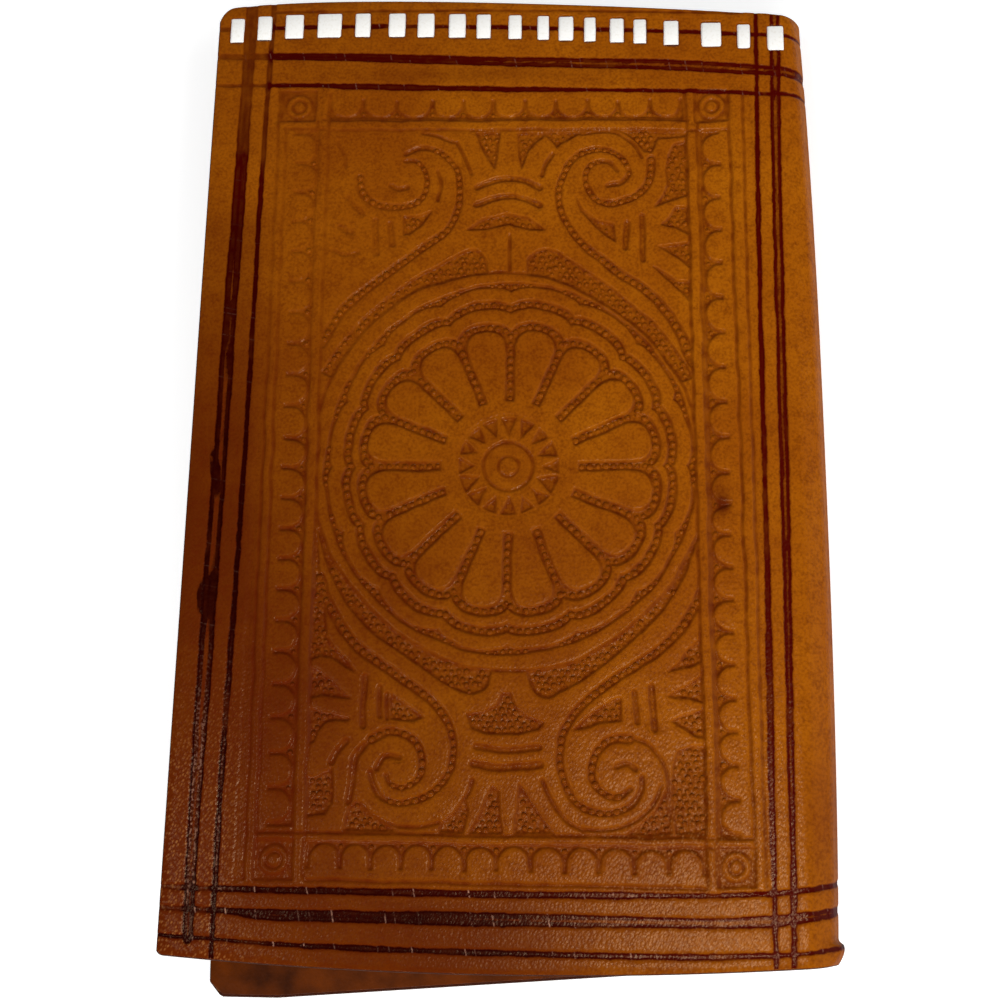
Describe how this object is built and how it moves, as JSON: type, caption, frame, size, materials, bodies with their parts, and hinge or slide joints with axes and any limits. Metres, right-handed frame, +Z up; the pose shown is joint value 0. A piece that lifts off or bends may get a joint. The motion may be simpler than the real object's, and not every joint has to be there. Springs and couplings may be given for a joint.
{
  "type": "bifold wallet",
  "caption": "Tall bifold wallet in tooled leather with a rosette front, a rounded spine that folds flat, a thong-laced edge, bill compartments and card pockets.",
  "frame": {"origin": "under the middle of the closed wallet, on the surface that it lies on", "axes": "+Z up out of the tooled front, +X from the free edge to the spine, +Y from the open mouths to the laced edge"},
  "size_m": [0.108, 0.1772, 0.011],
  "materials": {
    "tooled_leather": "antiqued amber, waxed, semi-gloss",
    "inner_leather": "plain amber, satin",
    "skiver": "thin split leather, matte",
    "white_thong": "off-white flat thong, matte"
  },
  "bodies": {
    "back": {"back_cover": "tooled_leather", "back_lining": "skiver", "back_bill_panel": "inner_leather", "back_lace": "white_thong", "back_card_pocket_rear": "inner_leather", "back_card_pocket_front": "inner_leather"},
    "spine": {"spine_cover": "tooled_leather", "spine_lining": "skiver"},
    "front": {"front_cover": "tooled_leather", "front_lining": "skiver", "front_bill_panel": "inner_leather", "front_lace": "white_thong", "front_pass_pocket": "inner_leather"}
  },
  "joints": [
    {"name": "spine_fold", "type": "hinge", "parent": "back", "child": "spine", "pos_m": [0.05239, 0, 0.00161], "axis": [0, 1, 0], "range_deg": [0, 90]},
    {"name": "front_fold", "type": "hinge", "parent": "spine", "child": "front", "pos_m": [0.05239, 0, 0.00939], "axis": [0, 1, 0], "range_deg": [0, 90]}
  ],
  "couplings": [
    {"joint": "front_fold", "follows": "spine_fold", "ratio": 1}
  ]
}
